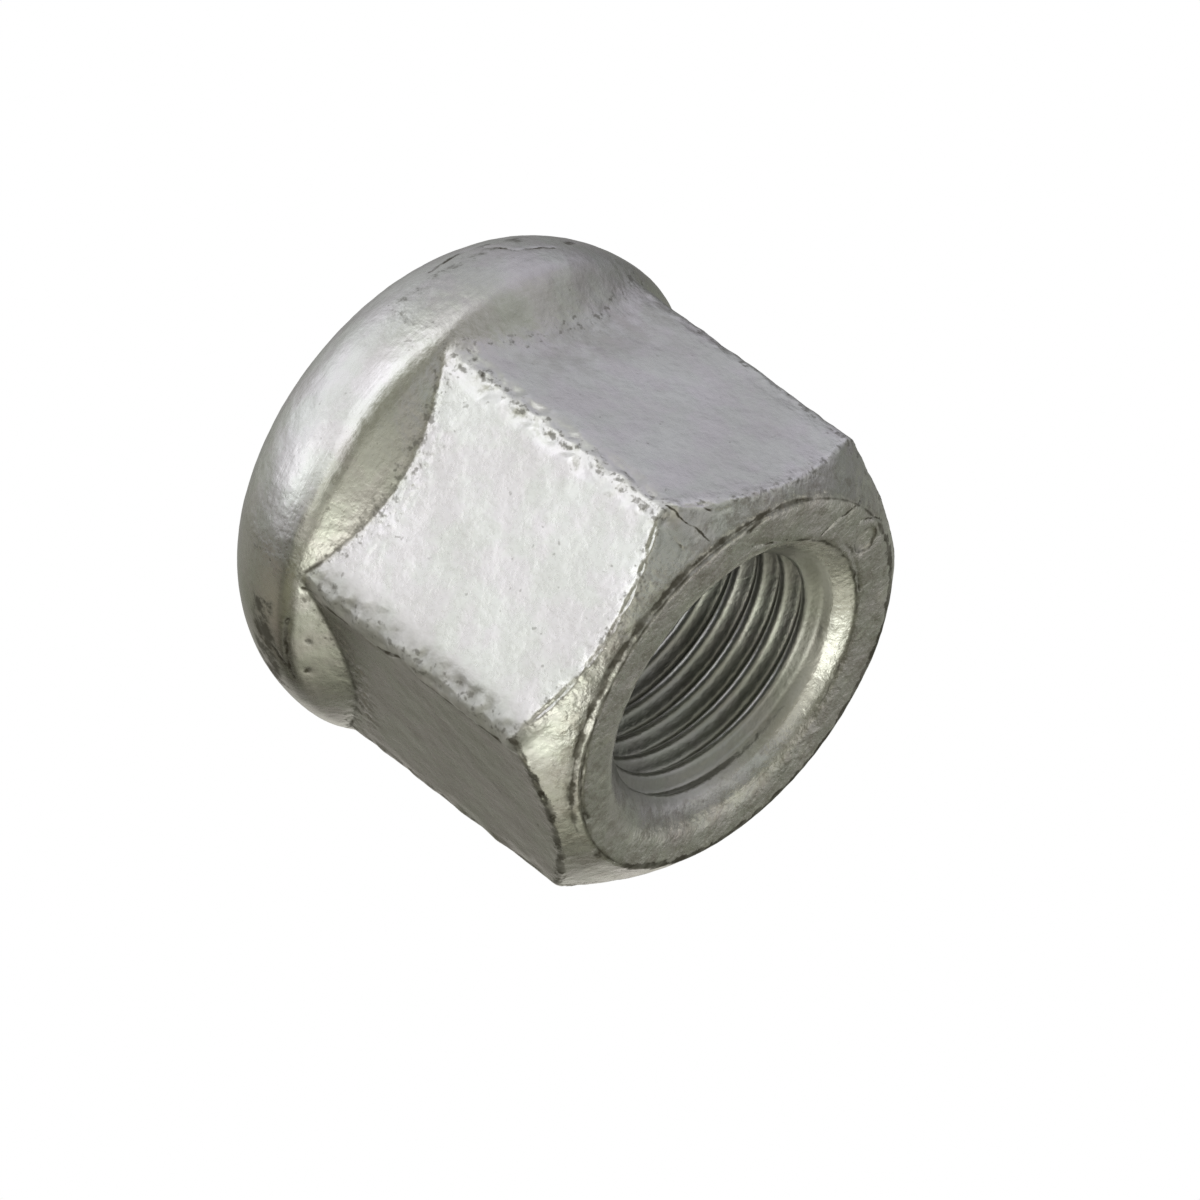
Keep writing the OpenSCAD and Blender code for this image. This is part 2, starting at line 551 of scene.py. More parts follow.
# %% List the scratches and mark them
SCRATCHES = [  # half the width, then the points, all in mm
    # lap beside an edge, whose dirt is also a painted dark reflection along that edge
    (0.14, [(5.9, -9.05, 6.2), (6.05, -8.7, 8.2), (6.1, -8.6, 10.2), (5.75, -9.15, 11.8)]),
    (0.14, [(5.75, -9.15, 11.8), (6.05, -8.75, 12.6), (6.05, -8.7, 16.2), (6.0, -8.75, 17.4)]),
    (0.05, [(-5.6, -9.2, 18.3), (-5.2, -7.1, 20.1)]),            # across the chamfer
    (0.05, [(-4.8, -9.0, 18.9), (-4.4, -8.3, 19.6)]),
    (0.06, [(-6.2, -7.9, 19.0), (-6.3, -7.4, 19.4), (-6.7, -6.9, 19.5)]),
    (0.16, [(-6.3, -5.8, 20.2), (-6.9, -5.4, 20.1)]),            # deep nick in the rim
    (0.07, [(-6.9, -5.4, 20.1), (-7.4, -4.7, 20.1), (-8.2, -3.4, 20.1)]),
    (0.06, [(-7.1, -0.7, 20.2), (-8.0, -0.3, 20.2), (-9.0, 0.7, 20.0)]),  # across the ring
    (0.05, [(-5.7, -4.9, 20.2), (-6.1, -3.9, 20.2), (-6.4, -2.9, 20.2)]),
    (0.09, [(-7.1, 1.1, 20.2), (-6.9, 2.0, 20.2), (-6.5, 2.8, 20.2), (-5.5, 4.4, 20.2)]),
    (0.05, [(-8.2, 1.3, 20.2), (-8.5, 2.2, 20.1), (-8.5, 3.0, 20.0)]),
    (0.08, [(0.8, 6.7, 20.1), (0.1, 7.0, 20.2)]),
    (0.16, [(6.8, -5.2, 20.2), (7.1, -4.4, 20.2)]),
    (0.17, [(8.3, -2.2, 20.1), (8.6, -1.7, 20.1)]),              # knocks on the rim
    (0.09, [(8.9, 0.7, 20.0), (8.7, 1.6, 20.1), (8.6, 2.7, 20.0)]),
    (0.12, [(-7.2, -7.5, 2.3), (-8.4, -6.1, 2.1), (-9.2, -5.1, 2.4)]),  # nicks low on the collar
    (0.08, [(-9.0, -5.6, 2.4), (-9.7, -5.4, 3.8), (-10.5, -3.8, 4.4)]),
    (0.18, [(-10.8, -2.7, 4.1), (-10.9, -2.2, 4.0)]),
    (0.14, [(-5.9, -8.9, 6.9), (-5.7, -9.1, 7.2)]),              # knocks where an edge meets the shoulder
    (0.16, [(-5.5, -9.3, 8.0), (-5.3, -9.4, 8.2)]),
    (0.10, [(-5.8, -9.0, 8.6), (-5.6, -9.1, 8.9)]),
    (0.10, [(-4.9, -9.5, 6.5), (-4.9, -9.5, 6.9)]),
    (0.12, [(7.4, -8.2, 5.8), (8.3, -7.4, 5.7), (9.1, -6.4, 5.7), (9.7, -5.4, 5.7)]),  # seam on the collar
    (0.14, [(8.5, -7.2, 3.9), (8.9, -6.8, 4.3), (9.0, -6.7, 5.1), (9.4, -6.0, 5.6)]),
    (0.12, [(7.8, -7.1, 6.4), (7.9, -7.0, 6.5)]),                # pits on the shoulder
    (0.14, [(9.0, -5.7, 6.3), (9.1, -5.6, 6.3)]),
]


def to_scratch(places, points):
    """Distance from each place, in mm, to the nearest stretch between these points."""
    nearest = np.full(len(places), np.inf)
    for a, b in zip(np.array(points), np.array(points[1:])):
        share = np.clip((places - a) @ (b - a) / ((b - a) @ (b - a)), 0, 1)
        nearest = np.minimum(nearest, np.linalg.norm(places - a - share[:, None] * (b - a), axis=1))
    return nearest


corners_in_mm = corners_of(nut.data) / MM
in_scratch = [fade(to_scratch(corners_in_mm, points), width) for width, points in SCRATCHES]
mask(nut, "scratches", np.max(in_scratch, axis=0))

# %% [markdown]
# ## Nicks, dents and the skin of the forging
#
# Layers of displacement push the surface along its normals. The first is
# long and shallow, like the waviness that a die leaves. The second is the
# skin of the forging under its zinc. The rest act where their weights are:
# the lip, the dents from sockets, the knocks from other nuts in the bin, the
# turned groove, the beads of zinc, the dimple and the scratches.
#
# The mid level is the shade of a texture that moves nothing. With a mid
# level of 1 a layer only cuts inwards, and with 0 it goes the way that the
# sign of its strength says. Only the lip and the beads stand out, and they
# are nowhere near the widest part. The textures are Blender's own noise,
# which is the same on every run.

# %% Displace the skin
def noise(name, size, depth=2, **settings):
    texture = bpy.data.textures.new(name, "CLOUDS")
    texture.noise_scale = size
    texture.noise_depth = depth
    for key, value in settings.items():
        setattr(texture, key, value)
    return texture


def push(texture, strength, group, mid_level=1):
    finish_with(
        nut, "DISPLACE", texture=texture, texture_coords="LOCAL", direction="NORMAL",
        strength=strength, mid_level=mid_level, vertex_group=group,
    )


push(noise("die_waviness", 2.6 * MM), 0.05 * MM, "outside")
push(noise("forged_skin", 0.45 * MM), 0.024 * MM, "outside")
push(None, 0.1 * MM, "lip", mid_level=0)
push(noise("dents", 1.1 * MM, 1, contrast=2.2, intensity=0.8), -0.2 * MM, "edges", mid_level=0)
push(noise("knocks", 0.5 * MM, contrast=2.2, intensity=0.85), -0.1 * MM, "edges", mid_level=0)
push(noise("tool_chatter", 1.5 * MM, intensity=1.4), -0.06 * MM, "rim_groove", mid_level=0)
push(noise("zinc_beads", 0.25 * MM, contrast=3, intensity=0.8), 0.035 * MM, "beads", mid_level=0)
push(None, -0.08 * MM, "dimple", mid_level=0)
push(None, -0.04 * MM, "scratches", mid_level=0)
finish_with(nut, "SMOOTH", factor=0.5, iterations=3, vertex_group="edges")
finish_with(nut, "SMOOTH", factor=0.5, iterations=6, vertex_group="rim_groove")
report(nut)

# %% [markdown]
# ## Fewer faces where nothing happens
#
# The even skin spends as many faces on a flat as on an edge. Decimate merges
# neighbours where the surface hardly bends and keeps the rest.

# %% Thin the mesh out
MOST_TRIANGLES = 190_000
triangles = sum(len(face.vertices) - 2 for face in nut.data.polygons)
nut.vertex_groups.clear()
finish_with(
    nut, "DECIMATE", decimate_type="COLLAPSE", ratio=MOST_TRIANGLES / triangles,
    use_collapse_triangulate=True,
)
select_only(nut)
bpy.ops.object.shade_smooth()
report(nut)

# %% [markdown]
# ## Dirt, bare metal and painted light, as numbers on the mesh
#
# The dirt of handling stays where two surfaces meet: round the rim of the
# top face, round the countersink, along the arcs of the chamfer and in the
# joint between the flats and the shoulder. Those are circles and arcs that
# the material can find by itself, from the sizes. What it can't know is how
# much dirt each of them holds, side by side, and where the metal is rubbed.
# That is written on the corners of the mesh as attributes, which a material
# can read. Some of them also place painted light: a painted highlight on
# the countersink and on one upright edge, painted shade in the hollows and
# on the collar's crest, and a painted dark reflection beside one upright
# edge and along the rims on the side away from the camera. Few of them
# change within a fraction of a millimetre, because the thinned mesh has no
# corners on its flat parts to hold that.

# %% Keep the wear, with painted highlights and shade
def keep(piece, name, values):
    attribute = piece.data.attributes.new(name, "FLOAT", "POINT")
    attribute.data.foreach_set("value", np.asarray(values, np.float32))


SINK_HIGHLIGHT_SIDE = 120           # the middle of the side where a highlight is painted on the countersink
SHINY_CORNER = -120         # the upright edge that the wrench has polished, with a painted highlight along it
places = corners_of(nut.data)
x, y, z = places.T
radius, turn = np.hypot(x, y), np.arctan2(y, x)
edge = from_edges(places)
stands_out = stand_out(nut, 10)
outside = ramp(radius, PAST_THREAD, 7.2 * MM)
upper = ramp(z, 7.5 * MM, 8.5 * MM) * ramp(HEIGHT - z, 0.4 * MM, 0.7 * MM)
# A painted highlight on one side of the countersink, kept together with the edges that stand out and are worn
# light.
sink_highlight = ramp(TOP_SINK_RADIUS - radius, 0, 0.2 * MM) * ramp(z, 19 * MM, 19.3 * MM)
sink_highlight = sink_highlight * ramp(60 - away_from(turn, SINK_HIGHLIGHT_SIDE), 0, 30)
keep(nut, "worn_and_highlit", np.maximum(outside * upper * ramp(stands_out, 0.008 * MM, 0.03 * MM), sink_highlight))
# Painted shade in the hollows and the roots of the thread, weaker on the soft flat.
hollow_shade_spared = ramp(45 - away_from(turn, SOFT_FLAT), 0, 15)
keep(nut, "hollow_shade", ramp(-stands_out, 0.01 * MM, 0.05 * MM) * (1 - 0.85 * hollow_shade_spared))
keep(nut, "thread", ramp(PAST_THREAD - radius, 0, 0.2 * MM))
off_upright = edge["upright"]
on_flats = ramp(z, 6 * MM, 7 * MM) * ramp(19 * MM - z, 0, 0.5 * MM)
# Beside the edge that the wrench rolled over, the darker colour is partly scuffing and partly a painted dark
# reflection.
keep(nut, "scuffed_and_dark_reflection", on_flats * ramp(9 - away_from(turn, SCUFFED_CORNER), 0, 5) * fade(off_upright, 0.9 * MM))
# Along the polished edge the paler colour is partly a painted highlight.
keep(nut, "rubbed_and_highlit", on_flats * ramp(9 - away_from(turn, SHINY_CORNER), 0, 5) * fade(off_upright, 0.5 * MM))
print("wear:", [a.name for a in nut.data.attributes if a.data_type == "FLOAT"])

# %% Keep the shares of dirt and of painted light
FAR_SIDE = 80               # the middle of the side away from the camera, whose rims hold more dirt and a painted dark reflection
CLEAN_SHOULDER = -130       # the middle of the side where the shoulder has been wiped
DIRTY_SINK = 150            # the middle of the dirty part of the countersink's rim
SMUDGED_SIDES = (-36, -150)  # two smudges low on the collar
# the side where painted shade dims the highlight on the collar's crest
CREST_SHADE_SIDE = -158
far_side = ramp(85 - away_from(turn, FAR_SIDE), 0, 15)
calm = ramp(32 - away_from(turn, CALM_FLAT), 0, 4)
wiped_arc = ramp(32 - away_from(turn, SOFT_FLAT), 0, 4)
keep(nut, "arc_dirt_and_dark_reflection", 0.55 + 0.45 * np.maximum(calm, far_side) - 0.1 * wiped_arc)
keep(nut, "shoulder_dirt", (0.5 + 0.2 * far_side) * (1 - ramp(70 - away_from(turn, CLEAN_SHOULDER), 0, 20)))
on_top = ramp(z, 19 * MM, 19.5 * MM)
keep(nut, "groove_dirt", on_top * ramp(75 - away_from(turn, GROOVE_SIDE), 0, 20))
keep(nut, "rim_dirt_and_dark_reflection", on_top * (0.3 + 0.7 * far_side))
keep(nut, "sink_dirt", on_top * (0.25 + 0.65 * ramp(70 - away_from(turn, DIRTY_SINK), 0, 30)))
keep(nut, "on_top", on_top)
uprights = fade(off_upright - 0.35 * MM, 0.5 * MM) * ramp(z, 5.5 * MM, 7 * MM)
keep(nut, "uprights", (1 - 0.2 * far_side) * uprights)
to_an_edge = np.minimum.reduce([edge["chamfer_arc"], edge["shoulder_arc"], off_upright])
keep(nut, "beside_edges", outside * fade(to_an_edge, 0.8 * MM))
one_smudge = ramp(22 - away_from(turn, SMUDGED_SIDES[0]), 0, 10) * fade(z - 4.4 * MM, 1.5 * MM)
other_smudge = 0.85 * ramp(38 - away_from(turn, SMUDGED_SIDES[1]), 0, 12) * fade(z - 2.6 * MM, 1.4 * MM)
keep(nut, "smudged", np.maximum(one_smudge, other_smudge) * ramp(radius, 10.2 * MM, 10.7 * MM))
keep(nut, "calm", calm)
keep(nut, "crest_shade", ramp(40 - away_from(turn, CREST_SHADE_SIDE), 0, 20) * fade(z - 8 * MM, 2.2 * MM))
keep(nut, "collar", outside * ramp(7.2 * MM - z, 0, 1 * MM) * ramp(radius, 9.8 * MM, 10.4 * MM))
print("all attributes:", [a.name for a in nut.data.attributes if a.data_type == "FLOAT"])

# %% [markdown]
# ## The zinc
#
# Zinc plating on a forging is a matt silver. It scatters a reflection wide
# enough that no shape can be read in it. Up close it is grainy, with darker
# clouds a few millimetres wide, small pits, and grey-brown dirt along the
# edges. All patterns read the object's own coordinates, so they stay on the
# metal from every side. They are first scaled to millimetres, so that the
# scale of a noise is simply its waves per millimetre.

# %% Helpers for nodes
def node(tree, kind, inputs=(), **settings):
    """Adds a node, sets its properties, and fills or links its inputs by name or number."""
    made = tree.nodes.new(kind)
    for name, value in settings.items():
        setattr(made, name, value)
    for name, value in dict(inputs).items():
        if isinstance(value, bpy.types.NodeSocket):
            tree.links.new(value, made.inputs[name])
        else:
            made.inputs[name].default_value = value
    return made


def calc(tree, operation, a, b):
    return node(tree, "ShaderNodeMath", {0: a, 1: b}, operation=operation).outputs[0]


def blend_colour(tree, share, a, b, mode="MIX"):
    mix = node(tree, "ShaderNodeMix", {"Factor": share}, data_type="RGBA", blend_type=mode)
    for socket, value in ((mix.inputs[6], a), (mix.inputs[7], b)):
        if isinstance(value, bpy.types.NodeSocket):
            tree.links.new(value, socket)
        else:
            socket.default_value = (*value, 1)
    return mix.outputs[2]


# %% The zinc-plated steel
zinc = bpy.data.materials.new("zinc_plate_worn")
zinc.use_nodes = True
tree = zinc.node_tree
shader = tree.nodes["Principled BSDF"]
own = node(tree, "ShaderNodeTexCoord").outputs["Object"]
in_mm = node(tree, "ShaderNodeMapping", {"Vector": own, "Scale": (1000, 1000, 1000)}).outputs[0]


def painted(name):
    return node(tree, "ShaderNodeAttribute", attribute_name=name).outputs["Fac"]


def wave(where, scale, detail=3, roughness=0.55):
    return node(tree, "ShaderNodeTexNoise", {
        "Vector": where, "Scale": scale, "Detail": detail, "Roughness": roughness,
    }).outputs["Fac"]


def between(value, low, high, to_low=0, to_high=1):
    return node(tree, "ShaderNodeMapRange", {
        "Value": value, "From Min": low, "From Max": high, "To Min": to_low, "To Max": to_high,
    }, interpolation_type="SMOOTHSTEP").outputs["Result"]


clouds = wave(in_mm, 0.35, 4)
grain = wave(in_mm, 4.5, 4, 0.6)
fine = wave(in_mm, 9.0, 2, 0.6)
ragged = wave(in_mm, 2.4, 4, 0.7)
LINES_PER_METRE = (180, 180, 4500)     # close together up the collar, and long round it
along_collar = node(tree, "ShaderNodeMapping", {"Vector": own, "Scale": LINES_PER_METRE}).outputs[0]
brushed = wave(along_collar, 1.0, 3, 0.6)
print("patterns, with", len(tree.nodes), "nodes so far")

# %% Arithmetic with nodes
def most(*values):
    largest = values[0]
    for value in values[1:]:
        largest = calc(tree, "MAXIMUM", largest, value)
    return largest


def plus(a, b):
    return calc(tree, "ADD", a, b)


def times(a, b):
    return calc(tree, "MULTIPLY", a, b)


def take(a, b):
    return calc(tree, "SUBTRACT", a, b)


def dot(a, b):
    return node(tree, "ShaderNodeVectorMath", {0: a, 1: b}, operation="DOT_PRODUCT").outputs["Value"]


def length(a):
    return node(tree, "ShaderNodeVectorMath", {0: a}, operation="LENGTH").outputs["Value"]


print("helpers, with", len(tree.nodes), "nodes so far")

# %% [markdown]
# ## Dirt round the circles
#
# Dirt is a number from 0 to 1. Round a circle it is how far a ragged width
# reaches past the distance from the line, so the ring frays and breaks off
# like real dirt does. The width is the share from the mesh times a wave. For
# the dimple and the rim of the countersink the places are also shifted a
# little by a noise, so that those rings don't look drawn with a compass.

# %% Dirt round the rims, the groove and the dimple
wobble = node(tree, "ShaderNodeTexNoise", {"Vector": in_mm, "Scale": 1.6, "Detail": 3}).outputs["Color"]
wobble = node(tree, "ShaderNodeVectorMath", {0: wobble, 1: (0.5, 0.5, 0.5)}, operation="SUBTRACT").outputs[0]
wobble = node(tree, "ShaderNodeVectorMath", {0: wobble, "Scale": 0.35}, operation="SCALE").outputs[0]
wobbly = node(tree, "ShaderNodeVectorMath", {0: in_mm, 1: wobble}, operation="ADD").outputs[0]
frayed = wave(in_mm, 1.4, 4, 0.65)


def off_centre(where, centre):
    """How far a place is from the upright line through this centre, in mm."""
    from_centre = node(tree, "ShaderNodeVectorMath", {0: where, 1: centre}, operation="SUBTRACT").outputs[0]
    level = node(tree, "ShaderNodeVectorMath", {0: from_centre, 1: (1, 1, 0)}, operation="MULTIPLY")
    return length(level.outputs[0])


def dirty_ring(from_centre, radius, widest, share):
    """Dirt along a circle, wider and narrower as the frayed wave goes."""
    apart = calc(tree, "ABSOLUTE", take(from_centre, radius), 0)
    width = times(share, between(frayed, 0.32, 0.64, 0.25 * widest, widest))
    return between(take(width, apart), -0.02, 0.1)


from_axis = off_centre(wobbly, (0, 0, 0))
from_dimple = off_centre(wobbly, (DIMPLE[0] / MM, DIMPLE[1] / MM, 0))
from_turned_axis = off_centre(in_mm, (RUN_OUT_X / MM, RUN_OUT_Y / MM, 0))
on_top = painted("on_top")
# On the side away from the camera the rim's ring is partly a painted dark reflection.
rings = most(
    dirty_ring(off_centre(in_mm, (0, 0, 0)), GROOVE_RADIUS / MM, 0.2, painted("groove_dirt")),
    dirty_ring(from_turned_axis, TOP_FACE_RADIUS / MM - 0.06, 0.34, painted("rim_dirt_and_dark_reflection")),
    dirty_ring(from_axis, TOP_SINK_RADIUS / MM, 0.13, painted("sink_dirt")),
    dirty_ring(from_dimple, DIMPLE_RADIUS / MM, 0.11, on_top),
)
rings = times(rings, between(wave(in_mm, 1.1, 3, 0.6), 0.35, 0.6, 0.6, 0.95))
print("dirt round the circles, with", len(tree.nodes), "nodes so far")

# %% [markdown]
# ## Dirt along the arcs
#
# An arc is the line where two surfaces meet, so it is found from two gaps:
# how far a place lies off the one surface and how far off the other. Their
# squares are added and the root is taken, as for the long side of a right
# triangle.

# %% Dirt along the chamfer and the shoulder
def dirty_arc(one_gap, other_gap, widest, share):
    """Dirt along the line where two surfaces meet, from how far a place lies off each of them."""
    apart = calc(tree, "SQRT", plus(times(one_gap, one_gap), times(other_gap, other_gap)), 0)
    width = times(share, between(frayed, 0.34, 0.62, 0.15 * widest, widest))
    return between(take(width, apart), -0.02, 0.1)


outward = [(math.cos(a), math.sin(a), 0) for a in np.radians(range(30, 390, 60))]
flat_gap = take(FLAT_RADIUS / MM, most(*[dot(in_mm, way) for way in outward]))
height = dot(in_mm, (0, 0, 1))
past_rim = take(off_centre(in_mm, (RUN_OUT_X / MM, RUN_OUT_Y / MM, 0)), TOP_FACE_RADIUS / MM)
below_top = take(HEIGHT / MM, height)
cone_gap = take(times(below_top, math.cos(CHAMFER_SLOPE)), times(past_rim, math.sin(CHAMFER_SLOPE)))
shoulder_gap = plus(
    times(take(off_centre(in_mm, (0, 0, 0)), FLAT_RADIUS / MM), shoulder_out.x),
    times(take(height, shoulder_foot.y / MM), shoulder_out.y),
)
# On that side the chamfer's arc is also partly a painted dark reflection.
dirt_and_dark_reflection_line = most(
    dirty_arc(flat_gap, cone_gap, 0.26, painted("arc_dirt_and_dark_reflection")),
    dirty_arc(flat_gap, shoulder_gap, 0.2, painted("shoulder_dirt")),
)
dirt_and_dark_reflection_line = times(dirt_and_dark_reflection_line, between(wave(in_mm, 0.8, 3, 0.6), 0.35, 0.6, 0.55, 1))
print("dirt along the arcs, with", len(tree.nodes), "nodes so far")

# %% [markdown]
# ## Scratches, specks and pits
#
# A scratch holds dirt along its whole length. The edges and the smudges on
# the collar show it as specks, and the zinc has small pits all over its
# outside.

# %% Dirt in scratches, specks and pits
def scratch_share(half_width, points):
    """1 in the scratch and 0 beside it, over all the stretches between its points."""
    stretches = []
    for start, end in zip(points, points[1:]):
        a, b = Vector(start), Vector(end)
        along = (b - a) / (b - a).length_squared
        from_a = node(tree, "ShaderNodeVectorMath", {0: wobbly, 1: a}, operation="SUBTRACT").outputs[0]
        share = node(tree, "ShaderNodeClamp", {"Value": dot(from_a, along)}).outputs[0]
        foot = node(tree, "ShaderNodeVectorMath", {0: b - a, "Scale": share}, operation="SCALE").outputs[0]
        off_line = node(tree, "ShaderNodeVectorMath", {0: from_a, 1: foot}, operation="SUBTRACT")
        apart = length(off_line.outputs[0])
        stretches.append(between(apart, 0.4 * half_width, 1.3 * half_width, 1, 0))
    return most(*stretches)


scratches = most(*[scratch_share(*scratch) for scratch in SCRATCHES])
scratches = times(scratches, between(ragged, 0.35, 0.55, 0.45, 1))
specks = between(times(painted("uprights"), wave(in_mm, 2.2, 3, 0.6)), 0.5, 0.64)
beside_edges = painted("beside_edges")
specks = most(specks, between(times(beside_edges, wave(in_mm, 3.1, 2, 0.6)), 0.5, 0.66))
smudge = between(times(painted("smudged"), wave(in_mm, 1.2, 4, 0.75)), 0.34, 0.56)
pits = between(wave(in_mm, 2.6, 2, 0.5), 0.70, 0.78)
pits = times(pits, take(1, painted("thread")))
dirt_and_shade = most(dirt_and_dark_reflection_line, rings, scratches, times(specks, 0.6), times(smudge, 0.85), times(pits, 0.4))
# Painted shade in the hollows joins the dirt.
dirt_and_shade = most(dirt_and_shade, times(painted("hollow_shade"), 0.35))
print("all of the dirt, with", len(tree.nodes), "nodes so far")

# %% [markdown]
# ## Colour
#
# The plate begins as a light grey with darker clouds. Each line below lays
# one thing over it: grain, grime, painted shade on the collar's crest, smears
# and bare places on the top face, a faint change of hue, worn edges that are
# partly a painted highlight, a scuffed edge that is partly a painted dark
# reflection, painted shade in the thread, and last the dirt, which also holds
# painted shade in the hollows and a painted dark reflection along the far rims.

# %% Colour of the plate
plate = blend_colour(tree, between(clouds, 0.35, 0.65), (0.74, 0.74, 0.73), (0.81, 0.81, 0.81))
plate = blend_colour(tree, between(grain, 0.35, 0.65, 0.12, 0), plate, (0.4, 0.4, 0.38))
grime = between(wave(in_mm, 0.7, 5, 0.7), 0.45, 0.72, 0, 0.28)
plate = blend_colour(tree, grime, plate, (0.5, 0.48, 0.46))
# Painted shade on the collar's crest, which dims its highlight.
crest_shade = times(painted("crest_shade"), between(wave(in_mm, 0.9, 4, 0.7), 0.35, 0.65, 0.15, 0.75))
plate = blend_colour(tree, crest_shade, plate, (0.5, 0.49, 0.46))
smears = times(on_top, between(wave(in_mm, 1.2, 5, 0.75), 0.47, 0.62, 0, 0.65))
plate = blend_colour(tree, smears, plate, (0.5, 0.46, 0.45))
bare = times(on_top, between(wave(wobbly, 0.9, 5, 0.7), 0.52, 0.66, 0, 0.7))
bare = most(bare, times(on_top, between(from_dimple, 0.4, 0.6, 0.6, 0)))
plate = blend_colour(tree, bare, plate, (0.94, 0.94, 0.91))
hue = between(wave(in_mm, 0.6, 3), 0.4, 0.6)
tint = blend_colour(tree, hue, (1, 0.978, 0.99), (0.985, 1, 0.97))
plate = blend_colour(tree, 1.0, plate, tint, "MULTIPLY")
# Worn edges are lighter. On one side of the countersink and along one upright edge this lightening is also a
# painted highlight.
plate = blend_colour(tree, times(most(painted("worn_and_highlit"), painted("rubbed_and_highlit")), 0.8), plate, (0.96, 0.96, 0.95))
# Scuffing beside one upright edge, which is partly a painted dark reflection.
scuffed_and_dark_reflection = times(painted("scuffed_and_dark_reflection"), between(wave(in_mm, 1.5, 3, 0.6), 0.3, 0.6, 0.5, 1))
plate = blend_colour(tree, times(scuffed_and_dark_reflection, 0.9), plate, (0.46, 0.46, 0.44))
# Painted shade: the thread inside the bore is made darker.
plate = blend_colour(tree, times(painted("thread"), 0.42), plate, (0.28, 0.29, 0.26))
plate = blend_colour(tree, dirt_and_shade, plate, (0.13, 0.12, 0.10))
tree.links.new(plate, shader.inputs["Base Color"])
print("colour, with", len(tree.nodes), "nodes so far")

# %% [markdown]
# ## Gloss and grain
#
# Dirt and wear make the metal duller, and the scuffed edge is half chalk, so
# it is less of a metal there. The bump adds what is too fine for the mesh:
# the grain of the zinc, shallow hollows, and fine lines round the collar.

# %% Metal, roughness and bump
still_metal = take(1, times(painted("scuffed_and_dark_reflection"), 0.5))
tree.links.new(still_metal, shader.inputs["Metallic"])
rough = plus(between(grain, 0.3, 0.7, 0.25, 0.31), times(dirt_and_shade, 0.25))
rough = plus(rough, times(most(painted("scuffed_and_dark_reflection"), painted("rubbed_and_highlit")), 0.2))
rough = plus(rough, times(painted("thread"), 0.06))
tree.links.new(rough, shader.inputs["Roughness"])

skin = plus(times(grain, 0.4), times(fine, 0.15))
skin = plus(skin, times(wave(in_mm, 0.8, 3, 0.5), 3.2))
skin = plus(skin, times(beside_edges, times(wave(in_mm, 2.4, 2, 0.5), 2.5)))
skin = plus(skin, times(painted("collar"), times(brushed, 0.6)))
skin = plus(skin, times(on_top, times(wave(in_mm, 1.7, 3, 0.6), 3.2)))
skin = times(skin, take(1, most(times(painted("thread"), 0.7), times(painted("calm"), 0.5))))
skin = plus(skin, times(painted("thread"), times(wave(in_mm, 2.6, 3, 0.65), 1.4)))
bump = node(tree, "ShaderNodeBump", {"Height": skin, "Distance": 0.02 * MM, "Strength": 1.0})
tree.links.new(bump.outputs["Normal"], shader.inputs["Normal"])
nut.data.materials.clear()
nut.data.materials.append(zinc)
print("zinc:", len(tree.nodes), "nodes")

# %% [markdown]
# ## The floor
#
# The floor is a plain light table: a sheet that glows evenly, so that no
# shadow shows and the nut seems to lie on white paper. An Emission shader
# alone makes it, which is also quick to render. The nut doesn't mirror the
# sheet, because a mirrored floor would fill every lower surface with the
# same flat white, and the sheet isn't counted among the lamps.

# %% Floor
bpy.ops.object.select_all(action="DESELECT")
bpy.ops.mesh.primitive_circle_add(vertices=128, radius=6, fill_type="NGON", location=(0, 0, 0))
floor = bpy.context.object
floor.name = "floor"
paper = bpy.data.materials.new("light_table")
paper.use_nodes = True
paper.node_tree.nodes.clear()
glow = node(paper.node_tree, "ShaderNodeEmission", {"Color": (1, 1, 1, 1), "Strength": 1})
node(paper.node_tree, "ShaderNodeOutputMaterial", {"Surface": glow.outputs[0]})
paper.cycles.emission_sampling = "NONE"
floor.data.materials.append(paper)
floor.visible_glossy = False
floor.visible_diffuse = False
floor.visible_shadow = False
print("floor:", floor.name)

# %% [markdown]
# ## The light
#
# Plated metal has hardly a tone of its own. It shows what it mirrors, so the
# light decides how bright each face looks, and a few lamps aren't enough to
# give every face its own tone. The studio is therefore built as a ring of
# soft glows in the World, the way a photographer stands white cards all
# round a shiny object. Each glow is a direction, a spread and a colour, and
# falls off smoothly from its middle. To make one face brighter, find the
# direction that it mirrors into the camera and raise the glow there. The
# camera itself sees plain white behind the nut.

